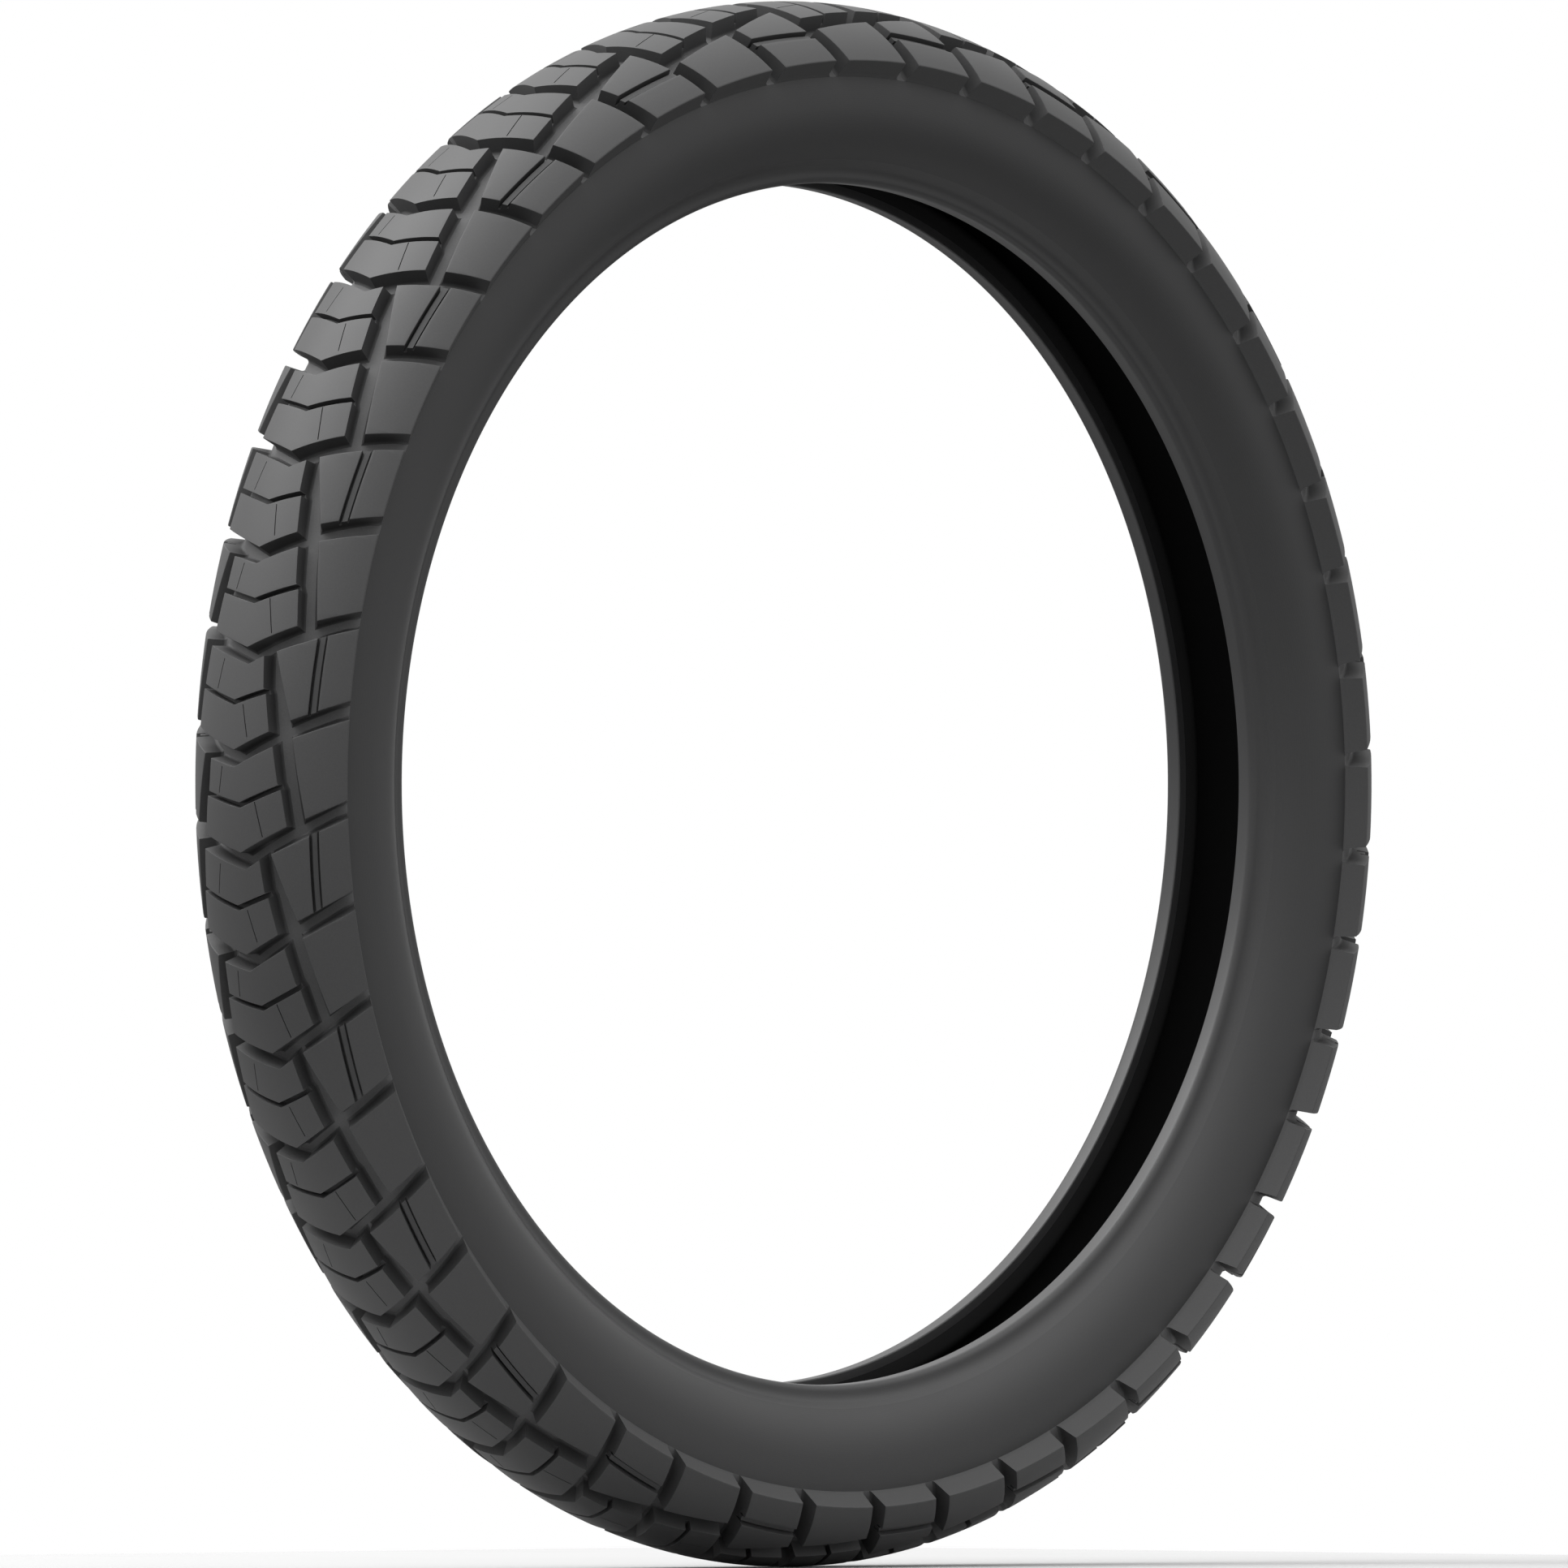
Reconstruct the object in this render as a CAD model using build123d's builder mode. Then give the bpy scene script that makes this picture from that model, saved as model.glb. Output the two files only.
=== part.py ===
from build123d import *
import os
from math import asin, cos, pi, radians, sin, tan

# Motorcycle front tire, 90/90-21 size, bare. Millimetres, +Z up, spin axis along Y, origin at the centre.
# Left is the +Y side and right is the -Y side. Every section is drawn with x as the radius from the spin
# axis and y as the distance from the centre plane, and is turned about the Y axis.
# An angle round the tire is counted from +X towards +Z, and a place across the tread is the distance
# from the centre line along the tread surface, positive to the right.

# Tread and casing
BEAD_SEAT_R = 266.7          # 21 inch rim
TREAD_R = 347.7              # crown of the tread
TREAD_ARC_R = 53.7           # radius of the tread surface across the tire
SHOULDER_HALF_WIDTH = 46.4   # widest point of the shoulder blocks
CASING_CENTRE_R = 297.2      # centre of the round casing section
FLOOR_ARC_R = 42.5           # groove floor, from that centre
FLOOR_EDGE = 66.8            # degrees from the crown, where the groove floor meets the sidewall
WIDEST_R = 300.0             # where the casing is widest
CASING_HALF_WIDTH = 40.9
SIDEWALL_ARC_R = 32.1        # lower sidewall
FLANGE_HALF_WIDTH = 27.4     # outside of the bead foot, against the rim flange
FLANGE_LINE_R = 6.0          # soft hollow line over the rim flange
HEEL_R = 3.0

# Layers
PLY_ARC_R = 38.0             # outside of the outer body ply at the crown, from the casing centre
PLY = 0.7
LINER = 0.8
CHAFER = 0.8
BREAKER = 0.9
INNER_BREAKER_EDGE = 50.0    # degrees from the crown
OUTER_BREAKER_EDGE = 44.0
CUSHION_EDGE = 64.0
BEND_ARC_R = 16.0            # the plies turn in towards the bead on this radius
BEND_ANGLE = 60.0
PLY_CORNER_R = 3.0

# Beads
WIRE_D = 0.96
WIRE_PITCH = 1.05
WIRE_COLUMNS = 3
WIRE_ROWS = 5
BUNDLE_INSIDE = 20.6         # distance of the bundle's inner face from the centre plane
BUNDLE_WIDTH = 3.9
BUNDLE_BOTTOM_R = 269.7
BUNDLE_HEIGHT = 5.9
BUNDLE_CORNER_R = 1.2
FILLER_TIP = 30.0            # degrees below level, on the bend of the plies
OUTER_TURN_UP_R = 284.0      # where the turned up edges stop
INNER_TURN_UP_R = 281.0
CHAFER_TOP_R = 278.5
SIDEWALL_BOTTOM_R = 280.0    # joint of the sidewall and the rim cushion

# Tread pattern
PERIODS = 24
PITCH = 360 / PERIODS
LEFT_SHIFT = PITCH / 2       # the left side repeats the right side half a period on
FIRST_PERIOD = 1.0           # angle of the first right-hand centre block
WALL_DRAFT = 6.0
CHEVRON_WIDTH = 2.3
CHEVRON_DEPTH = 4.5
SPLIT_WIDTH = 4.3
SPLIT_DEPTH = 2.8
SHOULDER_PLACE = 43.0        # the shoulder blocks are drawn square to the tread surface here
BLOCK_REACH = 18.0           # deeper than any groove, and past the side face of the shoulder blocks
TREAD_MARGIN = 1.0           # the tools that cut the blocks start this far outside the tread surface
SECTOR = 12.0                # half angle of the ring piece that the blocks are cut from

os.makedirs("parts", exist_ok=True)


def finish(builder, name):
    """Labels a finished piece and writes it."""
    builder.part.label = name
    export_step(builder.part, f"parts/{name}.step")


def ring(name, section):
    """Turns a section into a full ring piece and writes it."""
    with BuildPart() as piece:
        with BuildSketch():
            add(section)
        revolve(axis=Axis.Y)
    finish(piece, name)


def casing_point(arc_r, angle):
    """A point of the section on a circle round the casing centre, by its angle from the crown."""
    return CASING_CENTRE_R + arc_r * cos(radians(angle)), arc_r * sin(radians(angle))


def bend_point(angle, arc_r=BEND_ARC_R):
    """A point of the section on the bend of the plies, by its angle below level."""
    centre_y = PLY_ARC_R - BEND_ARC_R
    return CASING_CENTRE_R - arc_r * sin(radians(angle)), centre_y + arc_r * cos(radians(angle))


def slab(low_r, high_r):
    """The stretch of the left half of the section between two radii."""
    with BuildSketch() as piece:
        with Locations((low_r, 0)):
            Rectangle(high_r - low_r, 60, align=(Align.MIN, Align.MIN))
    return piece.sketch


def band(region, outside, inside):
    """The strip between two offsets of a region, positive outwards."""
    with BuildSketch() as piece:
        add(region)
        if outside:
            offset(amount=outside)
        with BuildSketch(mode=Mode.SUBTRACT):
            add(region)
            if inside:
                offset(amount=inside)
    return piece.sketch


def crown_strip(low_arc_r, high_arc_r, low_angle, high_angle):
    """A strip of the left half of the crown, between two circles and two angles from the crown."""
    middle = (low_angle + high_angle) / 2
    with BuildSketch() as piece:
        with BuildLine():
            ThreePointArc(*(casing_point(low_arc_r, angle) for angle in (low_angle, middle, high_angle)))
            Line(casing_point(low_arc_r, high_angle), casing_point(high_arc_r, high_angle))
            ThreePointArc(*(casing_point(high_arc_r, angle) for angle in (high_angle, middle, low_angle)))
            Line(casing_point(high_arc_r, low_angle), casing_point(low_arc_r, low_angle))
        make_face()
    return piece.sketch


def whole(section, *removed):
    """A left half section less other sections, with its mirror image."""
    with BuildSketch() as piece:
        add(section)
        for other in removed:
            add(other, mode=Mode.SUBTRACT)
        mirror(about=Plane.XZ)
    return piece.sketch


def both_sides(name, section, *removed):
    """Makes a left and a right ring from a left half section less other sections."""
    with BuildSketch() as left:
        add(section)
        for other in removed:
            add(other, mode=Mode.SUBTRACT)
    with BuildSketch() as right:
        mirror(left.sketch, about=Plane.XZ)
    ring(f"{name}_left", left.sketch)
    ring(f"{name}_right", right.sketch)


def clipped(section, low_r, high_r):
    """A section between two radii."""
    with BuildSketch() as piece:
        add(section)
        add(slab(low_r, high_r), mode=Mode.INTERSECT)
    return piece.sketch


# Sections of the left half: the whole casing, then the two regions that every layer is offset from

with BuildSketch() as casing_region:
    floor_edge = casing_point(FLOOR_ARC_R, FLOOR_EDGE)
    crown = (CASING_CENTRE_R + FLOOR_ARC_R, 0)
    upper_sidewall = (WIDEST_R + 7, CASING_HALF_WIDTH - 0.5)
    widest = (WIDEST_R, CASING_HALF_WIDTH)
    sidewall_centre_y = CASING_HALF_WIDTH - SIDEWALL_ARC_R
    foot_reach = SIDEWALL_ARC_R * cos(pi / 4)
    sidewall_foot = (WIDEST_R - foot_reach, sidewall_centre_y + foot_reach)
    lower_sidewall = (
        WIDEST_R - SIDEWALL_ARC_R * sin(pi / 8),
        sidewall_centre_y + SIDEWALL_ARC_R * cos(pi / 8),
    )
    flange_corner = (sidewall_foot[0] - (sidewall_foot[1] - FLANGE_HALF_WIDTH), FLANGE_HALF_WIDTH)
    heel = (BEAD_SEAT_R, FLANGE_HALF_WIDTH)
    with BuildLine():
        ThreePointArc(crown, casing_point(FLOOR_ARC_R, FLOOR_EDGE / 2), floor_edge)
        ThreePointArc(floor_edge, upper_sidewall, widest)
        ThreePointArc(widest, lower_sidewall, sidewall_foot)
        Polyline(sidewall_foot, flange_corner, heel, (BEAD_SEAT_R, 0), crown)
    make_face()
    fillet(casing_region.vertices().sort_by_distance((*flange_corner, 0))[0], radius=FLANGE_LINE_R)
    fillet(casing_region.vertices().sort_by_distance((*heel, 0))[0], radius=HEEL_R)

with BuildSketch() as cavity_region:
    # All that lies inside the outer ply, with both halves, run on past the beads
    bend_end = bend_point(BEND_ANGLE)
    corner_drop = (bend_end[1] - BUNDLE_INSIDE) / tan(radians(BEND_ANGLE))
    ply_corner = (bend_end[0] - corner_drop, BUNDLE_INSIDE)
    run_out_r = BEAD_SEAT_R - 20
    with BuildLine():
        ThreePointArc((CASING_CENTRE_R + PLY_ARC_R, 0), casing_point(PLY_ARC_R, 45), casing_point(PLY_ARC_R, 90))
        ThreePointArc(bend_point(0), bend_point(BEND_ANGLE / 2), bend_end)
        Polyline(bend_end, ply_corner, (run_out_r, BUNDLE_INSIDE), (run_out_r, 0))
        mirror(about=Plane.XZ)
    make_face()
    for side in (1, -1):
        corner = (ply_corner[0], side * ply_corner[1], 0)
        fillet(cavity_region.vertices().sort_by_distance(corner)[0], radius=PLY_CORNER_R)

with BuildSketch() as bead_region:
    # The wire bundle and the filler above it, which the plies turn round
    bundle_outside = BUNDLE_INSIDE + BUNDLE_WIDTH
    filler_shoulder_r = BUNDLE_BOTTOM_R + 4.7
    tip = bend_point(FILLER_TIP)
    with BuildLine():
        Polyline(
            (ply_corner[0], BUNDLE_INSIDE),
            (BUNDLE_BOTTOM_R, BUNDLE_INSIDE),
            (BUNDLE_BOTTOM_R, bundle_outside),
            (filler_shoulder_r, bundle_outside),
        )
        ThreePointArc((filler_shoulder_r, bundle_outside), bend_point(BEND_ANGLE, BEND_ARC_R + 2.4), tip)
        ThreePointArc(tip, bend_point((FILLER_TIP + BEND_ANGLE) / 2), bend_end)
        Line(bend_end, ply_corner)
    make_face()
    for place in (BUNDLE_INSIDE, bundle_outside):
        corner = (BUNDLE_BOTTOM_R, place, 0)
        fillet(bead_region.vertices().sort_by_distance(corner)[0], radius=BUNDLE_CORNER_R)
    fillet(bead_region.vertices().sort_by_distance((*ply_corner, 0))[0], radius=PLY_CORNER_R)


# Layers of the left half

plies = 2 * PLY
bundle_top_r = BUNDLE_BOTTOM_R + BUNDLE_HEIGHT
straight_r = BUNDLE_BOTTOM_R + BUNDLE_CORNER_R
top_r = TREAD_R

with BuildSketch() as outer_ply_half:
    add(clipped(band(cavity_region.sketch, 0, -PLY), straight_r, top_r))
    add(clipped(band(bead_region.sketch, PLY, 0), BEAD_SEAT_R, OUTER_TURN_UP_R))

with BuildSketch() as inner_ply_half:
    add(clipped(band(cavity_region.sketch, -PLY, -plies), straight_r, top_r))
    add(clipped(band(bead_region.sketch, plies, PLY), BEAD_SEAT_R, INNER_TURN_UP_R))

liner_half = clipped(band(cavity_region.sketch, -plies, -plies - LINER), straight_r, top_r)

with BuildSketch() as chafer_half:
    add(clipped(band(bead_region.sketch, plies + CHAFER, plies), BEAD_SEAT_R, CHAFER_TOP_R))
    add(liner_half, mode=Mode.SUBTRACT)
    add(inner_ply_half.sketch, mode=Mode.SUBTRACT)

inner_breaker_half = crown_strip(PLY_ARC_R, PLY_ARC_R + BREAKER, 0, INNER_BREAKER_EDGE)
outer_breaker_half = crown_strip(PLY_ARC_R + BREAKER, PLY_ARC_R + 2 * BREAKER, 0, OUTER_BREAKER_EDGE)
cushion_half = crown_strip(PLY_ARC_R, PLY_ARC_R + 2 * BREAKER, OUTER_BREAKER_EDGE, CUSHION_EDGE)
crown_half = crown_strip(PLY_ARC_R, FLOOR_ARC_R, 0, FLOOR_EDGE)

with BuildSketch() as wall_half:
    # The rubber outside the plies, from the edge of the groove floor to the bead foot
    add(casing_region.sketch)
    add(crown_strip(1, FLOOR_ARC_R + 1, 0, FLOOR_EDGE), mode=Mode.SUBTRACT)
    add(cavity_region.sketch, mode=Mode.SUBTRACT)

with BuildSketch() as foot_half:
    # The rubber round the bead, with the toe inside the plies
    add(casing_region.sketch)
    with BuildSketch(mode=Mode.SUBTRACT):
        add(cavity_region.sketch)
        offset(amount=-plies - LINER)

layers = (outer_ply_half.sketch, inner_ply_half.sketch, liner_half, chafer_half.sketch, bead_region.sketch)

ring("body_ply_outer", whole(outer_ply_half.sketch))
ring("body_ply_inner", whole(inner_ply_half.sketch))
ring("inner_liner", whole(liner_half))
ring("breaker_inner", whole(inner_breaker_half))
ring("breaker_outer", whole(outer_breaker_half))
ring("tread_base", whole(crown_half, inner_breaker_half, outer_breaker_half, cushion_half))
both_sides("breaker_cushion", cushion_half, inner_breaker_half)
both_sides("chafer", chafer_half.sketch)
both_sides("sidewall", clipped(wall_half.sketch, SIDEWALL_BOTTOM_R, top_r), *layers, cushion_half)
both_sides("rim_cushion", clipped(foot_half.sketch, BEAD_SEAT_R - 1, SIDEWALL_BOTTOM_R), *layers)

with BuildSketch() as wires_half:
    with Locations((BUNDLE_BOTTOM_R + BUNDLE_HEIGHT / 2, BUNDLE_INSIDE + BUNDLE_WIDTH / 2)):
        with GridLocations(WIRE_PITCH, WIRE_PITCH, WIRE_ROWS, WIRE_COLUMNS):
            Circle(WIRE_D / 2)

both_sides("bead_wires", wires_half.sketch)
both_sides("bead_wrap", clipped(bead_region.sketch, BEAD_SEAT_R, bundle_top_r), wires_half.sketch)
both_sides("bead_filler", clipped(bead_region.sketch, bundle_top_r, top_r))

# Tread blocks, made near +X for one period and repeated round the tire

tread_centre_r = TREAD_R - TREAD_ARC_R
edge_turn = asin(SHOULDER_HALF_WIDTH / TREAD_ARC_R)
shoulder_edge = (tread_centre_r + TREAD_ARC_R * cos(edge_turn), SHOULDER_HALF_WIDTH)


def tread_point(across, angle, depth=0.0):
    """A point on or below the tread surface, by its place across the tread and its angle round the tire."""
    turn = across / TREAD_ARC_R
    arc_r = TREAD_ARC_R - depth
    radius = tread_centre_r + arc_r * cos(turn)
    return Vector(radius * cos(radians(angle)), -arc_r * sin(turn), radius * sin(radians(angle)))


def tread_plane(across, depth=0.0):
    """A plane square to the tread surface's normal at angle 0, facing into the tire, at a depth there."""
    turn = across / TREAD_ARC_R
    return Plane(
        origin=tread_point(across, 0, depth),
        x_dir=(-sin(turn), -cos(turn), 0),
        z_dir=(-cos(turn), sin(turn), 0),
    )


def flat_outline(plane, outline):
    """The corners that an outline on the tread surface has on a plane, carried there square to the surface."""
    corners = []
    for across, angle in outline:
        start = plane.to_local_coords(tread_point(across, angle))
        step = plane.to_local_coords(tread_point(across, angle, 1.0)) - start
        corner = start - step * (start.Z / step.Z)
        corners.append(Vector(corner.X, corner.Y))
    return corners


def grown(corners, margin):
    """A closed outline with every side moved out by a margin."""
    area = sum(a.X * b.Y - b.X * a.Y for a, b in zip(corners, corners[1:] + corners[:1]))
    turn = 1 if area > 0 else -1
    result = []
    for before, corner, after in zip(corners[-1:] + corners[:-1], corners, corners[1:] + corners[:1]):
        first, second = (corner - before).normalized(), (after - corner).normalized()
        outwards = Vector(first.Y + second.Y, -first.X - second.X) * turn
        square = outwards.dot(Vector(second.Y, -second.X) * turn)
        result.append(corner + outwards * (margin / square))
    return result


def sector(section):
    """Turns a section into a short piece of ring round angle 0."""
    with BuildPart() as piece:
        with BuildSketch(Plane.XY.rotated((0, -SECTOR, 0))):
            add(section)
        revolve(axis=Axis.Y, revolution_arc=2 * SECTOR)
    return piece.part


def tread_strip(depth):
    """The section of the tread from its surface down to a depth."""
    with BuildSketch() as piece:
        with Locations((tread_centre_r, 0)):
            Circle(TREAD_ARC_R)
            Circle(TREAD_ARC_R - depth, mode=Mode.SUBTRACT)
    return clipped(piece.sketch, shoulder_edge[0] - TREAD_MARGIN, top_r)


def prism(across, outline):
    """A block outline carried through the tread square to its surface, and flared with its depth."""
    with BuildPart() as piece:
        for depth in (-TREAD_MARGIN, BLOCK_REACH):
            plane = tread_plane(across, depth)
            corners = grown(flat_outline(plane, outline), depth * tan(radians(WALL_DRAFT)))
            with BuildSketch(plane):
                with BuildLine():
                    Polyline(*((corner.X, corner.Y) for corner in corners), close=True)
                make_face()
        loft(ruled=True)
    return piece.part


def shallow_cut(across, route, width, layer):
    """A groove along a route on the tread surface, as deep as a layer."""
    plane = tread_plane(across)
    with BuildPart() as piece:
        with BuildSketch(plane):
            with BuildLine() as path:
                Polyline(*((corner.X, corner.Y) for corner in flat_outline(plane, route)))
            trace(path.line, line_width=width)
        extrude(amount=BLOCK_REACH, both=True)
        add(layer, mode=Mode.INTERSECT)
    return piece.part


def turned(block, angle):
    """A block turned round the tire, towards +Z from +X."""
    return block.rotate(Axis.Y, -angle)


with BuildSketch() as blocks_half:
    with BuildLine():
        ThreePointArc(
            (TREAD_R, 0),
            (tread_centre_r + TREAD_ARC_R * cos(edge_turn / 2), TREAD_ARC_R * sin(edge_turn / 2)),
            shoulder_edge,
        )
        Line(shoulder_edge, floor_edge)
        ThreePointArc(floor_edge, casing_point(FLOOR_ARC_R, FLOOR_EDGE / 2), crown)
        Line(crown, (TREAD_R, 0))
    make_face()

block_ring = sector(whole(blocks_half.sketch))
chevron_layer = sector(whole(tread_strip(CHEVRON_DEPTH)))
split_layer = sector(whole(tread_strip(SPLIT_DEPTH)))

# Centre blocks: the side that reaches out is on the right for one kind and on the left for the other.
# Outlines run round the block as (place across, degrees from the block's own angle).


def centre_block(side, top, middle, bottom):
    """A centre block that reaches out to one side, with the places of its three chevron points."""
    long_side = [(26.3, -0.5), (24.6, -1.05), (22.1, -3.75)]
    short_side = [(-14.6, -2.9), (-15.9, -0.55), (-17.4, -0.1), (-20.0, 2.65)]
    outline = [(28.6, 2.2), *long_side, (side * top, -2.25), *short_side, (side * bottom, 4.0)]
    outline = [(side * across, angle) for across, angle in outline]
    chevron = [(side * 29.0, -0.95), (middle, 0.55), (side * -21.0, -0.5)]
    with BuildPart() as piece:
        add(prism(0, outline))
        add(block_ring, mode=Mode.INTERSECT)
        add(shallow_cut(0, chevron, CHEVRON_WIDTH, chevron_layer), mode=Mode.SUBTRACT)
    return piece.part


right_centre_block = centre_block(1, top=2.2, middle=5.2, bottom=5.0)
left_centre_block = centre_block(-1, top=6.6, middle=0.5, bottom=1.8)

with BuildPart() as centre_blocks:
    for period in range(PERIODS):
        angle = FIRST_PERIOD + period * PITCH
        add([turned(right_centre_block, angle), turned(left_centre_block, angle + LEFT_SHIFT)])
finish(centre_blocks, "centre_blocks")

# Shoulder blocks: a plain one beside each centre block that reaches out, and a split one between them


def shoulder_pair(side):
    """The plain and the split shoulder block of one period, on one side."""
    plain = [(31.0, -4.4), (62.0, -6.43), (62.0, -0.1), (37.0, 1.65)]
    split = [(20.5, 4.2), (62.0, 1.3), (62.0, 7.05), (29.8, 9.3)]
    groove = [(40.9, 1.5), (39.5, 9.6)]
    place = side * SHOULDER_PLACE
    with BuildPart() as plain_block:
        add(prism(place, [(side * across, angle) for across, angle in plain]))
        add(block_ring, mode=Mode.INTERSECT)
    with BuildPart() as split_block:
        add(prism(place, [(side * across, angle) for across, angle in split]))
        add(block_ring, mode=Mode.INTERSECT)
        route = [(side * across, angle) for across, angle in groove]
        add(shallow_cut(place, route, SPLIT_WIDTH, split_layer), mode=Mode.SUBTRACT)
    return [plain_block.part, split_block.part]


for name, side, shift in (("left", -1, LEFT_SHIFT), ("right", 1, 0)):
    blocks = shoulder_pair(side)
    with BuildPart() as shoulder_blocks:
        for period in range(PERIODS):
            add([turned(block, FIRST_PERIOD + period * PITCH + shift) for block in blocks])
    finish(shoulder_blocks, f"shoulder_blocks_{name}")
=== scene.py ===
"""Dresses a bare motorcycle front tire: moulded tread blocks, casing skins and rubber finishes."""

import logging
from dataclasses import dataclass, field
from enum import Enum
from math import atan2, ceil, cos, degrees, hypot, radians, sin, sqrt, tan, tau

import bmesh
import bpy
from mathutils import Matrix, Vector


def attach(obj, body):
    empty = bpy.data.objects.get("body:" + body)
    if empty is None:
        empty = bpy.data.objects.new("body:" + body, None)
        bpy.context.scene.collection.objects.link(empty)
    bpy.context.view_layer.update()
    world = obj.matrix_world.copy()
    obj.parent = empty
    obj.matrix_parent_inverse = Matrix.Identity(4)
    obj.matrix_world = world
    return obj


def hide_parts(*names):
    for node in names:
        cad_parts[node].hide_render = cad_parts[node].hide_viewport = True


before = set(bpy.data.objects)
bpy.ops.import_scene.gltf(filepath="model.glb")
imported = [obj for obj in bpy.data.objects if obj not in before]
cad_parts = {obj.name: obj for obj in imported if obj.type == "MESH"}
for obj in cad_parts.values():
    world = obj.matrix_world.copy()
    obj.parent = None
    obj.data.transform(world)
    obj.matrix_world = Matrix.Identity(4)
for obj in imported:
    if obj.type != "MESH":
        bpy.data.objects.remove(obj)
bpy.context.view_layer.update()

MM = 0.001
BODY = "root"
TINY = 1e-6
CORD_RADIUS = 300 * MM
RING_SMOOTH_ANGLE = 40.0
MIX_SHARE, MIX_FIRST, MIX_SECOND = 0, 6, 7
MIX_COLOUR = 2
log = logging.getLogger("tire")

Point = tuple[float, float]


class Side(Enum):
    """The two sides of the tire, by the sign of Y."""

    LEFT = 1
    RIGHT = -1

    @property
    def word(self) -> str:
        """The side's name as the nodes write it."""
        return self.name.lower()


class Grain(Enum):
    """What a finish shows close up."""

    MOULDED = "moulded"
    TURNED = "turned"
    CORDS = "cords"
    WOVEN = "woven"
    DRAWN = "drawn"


# ---------------------------------------------------------------------------------------------
# Shader building


class Value:
    """A number socket that Python's arithmetic can be used on."""

    def __init__(self, tree: "Tree", socket: bpy.types.NodeSocket) -> None:
        """Wraps a socket.

        Args:
            tree: The node tree that the socket is in.
            socket: The output socket.
        """
        self.tree = tree
        self.socket = socket

    def _maths(self, operation: str, *values: "Value | float") -> "Value":
        """Adds a Math node on the values."""
        inputs = dict(enumerate(values))
        return self.tree.value("ShaderNodeMath", {"operation": operation}, inputs)

    def __add__(self, other: "Value | float") -> "Value":
        """Adds."""
        return self._maths("ADD", self, other)

    def __sub__(self, other: "Value | float") -> "Value":
        """Subtracts."""
        return self._maths("SUBTRACT", self, other)

    def __rsub__(self, other: float) -> "Value":
        """Subtracts from a number."""
        return self._maths("SUBTRACT", other, self)

    def __mul__(self, other: "Value | float") -> "Value":
        """Multiplies."""
        return self._maths("MULTIPLY", self, other)

    __radd__ = __add__
    __rmul__ = __mul__

    def sine(self) -> "Value":
        """The sine, in radians."""
        return self._maths("SINE", self)

    def root(self) -> "Value":
        """The square root."""
        return self._maths("SQRT", self)

    def angle_to(self, other: "Value") -> "Value":
        """The angle whose tangent is this over another."""
        return self._maths("ARCTAN2", self, other)

    def between(self, low: float, high: float) -> "Value":
        """Where it lies in a range: 0 at low or under, 1 at high or over."""
        return self.tree.value("ShaderNodeMapRange", {}, {"Value": self, "From Min": low, "From Max": high})


class Tree:
    """A node tree, with one way to add a node."""

    def __init__(self, owner: bpy.types.Material | bpy.types.World) -> None:
        """Empties the owner's tree.

        Args:
            owner: The material or the world that the tree belongs to.
        """
        owner.use_nodes = True
        self.nodes = owner.node_tree.nodes
        self.links = owner.node_tree.links
        self.nodes.clear()

    def node(self, kind: str, settings: dict, inputs: dict) -> bpy.types.Node:
        """Adds a node.

        Args:
            kind: The node's type.
            settings: Properties, set first.
            inputs: Values, sockets or wrapped values for its input sockets, by name or number.

        Returns:
            The node.
        """
        made = self.nodes.new(kind)
        for key, setting in settings.items():
            setattr(made, key, setting)
        for key, given in inputs.items():
            self.feed(made.inputs[key], given)
        return made

    def value(self, kind: str, settings: dict, inputs: dict, output: int | str = 0) -> Value:
        """Adds a node and wraps one of its outputs."""
        return Value(self, self.node(kind, settings, inputs).outputs[output])

    def blend_colours(self, share: Value, first: tuple, second: tuple) -> bpy.types.NodeSocket:
        """Mixes two colours by a share.

        Args:
            share: 0 for the first colour and 1 for the second.
            first: A colour with its alpha.
            second: A colour with its alpha.

        Returns:
            The socket of the mixed colour.
        """
        inputs = {MIX_SHARE: share, MIX_FIRST: first, MIX_SECOND: second}
        return self.node("ShaderNodeMix", {"data_type": "RGBA"}, inputs).outputs[MIX_COLOUR]

    def feed(self, socket: bpy.types.NodeSocket, given: object) -> None:
        """Links a socket to what feeds it, or sets its own value."""
        source = given.socket if isinstance(given, Value) else given
        if isinstance(source, bpy.types.NodeSocket):
            self.links.new(source, socket)
        else:
            socket.default_value = source


class MaterialTree(Tree):
    """A material's node tree round one Principled shader."""

    def __init__(self, name: str) -> None:
        """Starts a material.

        Args:
            name: The material's name.
        """
        self.material = bpy.data.materials.new(name)
        super().__init__(self.material)
        self.shader = self.node("ShaderNodeBsdfPrincipled", {}, {})
        self.node("ShaderNodeOutputMaterial", {}, {"Surface": self.shader.outputs[0]})


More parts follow.
